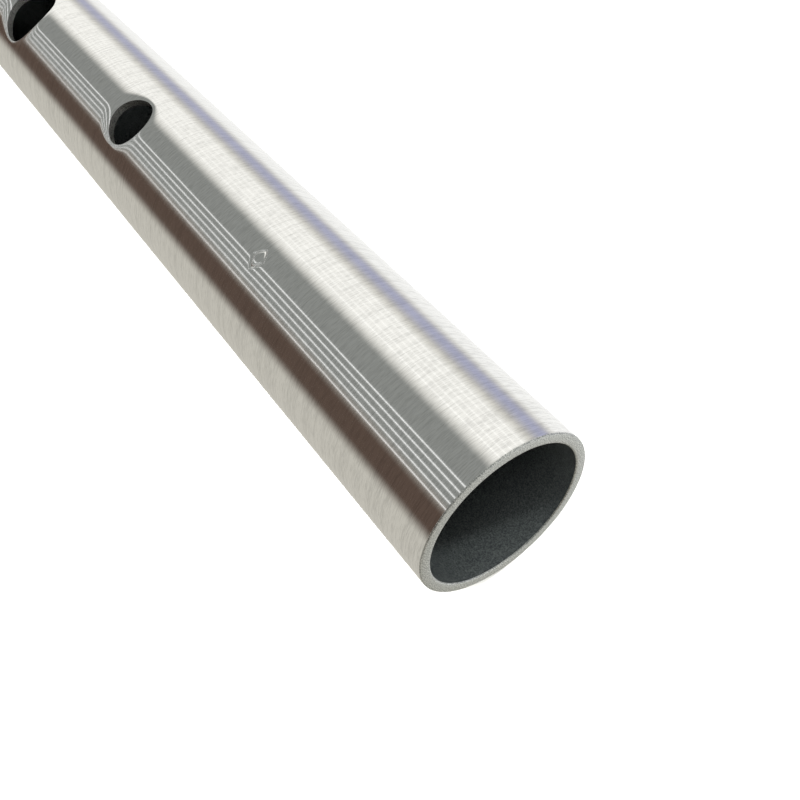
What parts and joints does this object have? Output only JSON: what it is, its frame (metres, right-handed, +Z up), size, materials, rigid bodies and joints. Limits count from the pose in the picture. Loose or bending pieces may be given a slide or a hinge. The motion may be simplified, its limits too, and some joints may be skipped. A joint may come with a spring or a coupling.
{
  "type": "tin whistle",
  "caption": "Tunable low whistle: a straight metal tube with finger holes in one line, a sliding and turning head joint, and a beaked mouthpiece with windway, window and blade.",
  "frame": {"origin": "centre of the whole object's box, at its bottom, on the surface that the tube lies on", "axes": "+X along the tube from the foot to the mouth, +Z up through the finger holes"},
  "size_m": [0.592, 0.0284, 0.0268],
  "materials": {
    "satin_aluminium": "satin, brushed round the tube",
    "brass": "turned",
    "rubber": "matt",
    "black_acetal": "machined",
    "black_steel": "black oxide"
  },
  "bodies": {
    "body": {"body_tube": "satin_aluminium"},
    "slide_rings": {"lower_slide_ring": "rubber", "upper_slide_ring": "rubber"},
    "head": {"tuning_sleeve": "brass", "head_tube": "satin_aluminium", "fipple_block": "black_acetal", "windway_sleeve": "satin_aluminium", "left_grub_screw": "black_steel", "right_grub_screw": "black_steel"}
  },
  "joints": [
    {"name": "tuning_slide", "type": "slide", "parent": "body", "child": "slide_rings", "axis": [1, 0, 0], "range_m": [0, 0.015]},
    {"name": "head_turn", "type": "hinge", "parent": "slide_rings", "child": "head", "pos_m": [0.134, 0, 0.01267], "axis": [1, 0, 0], "continuous": true}
  ]
}
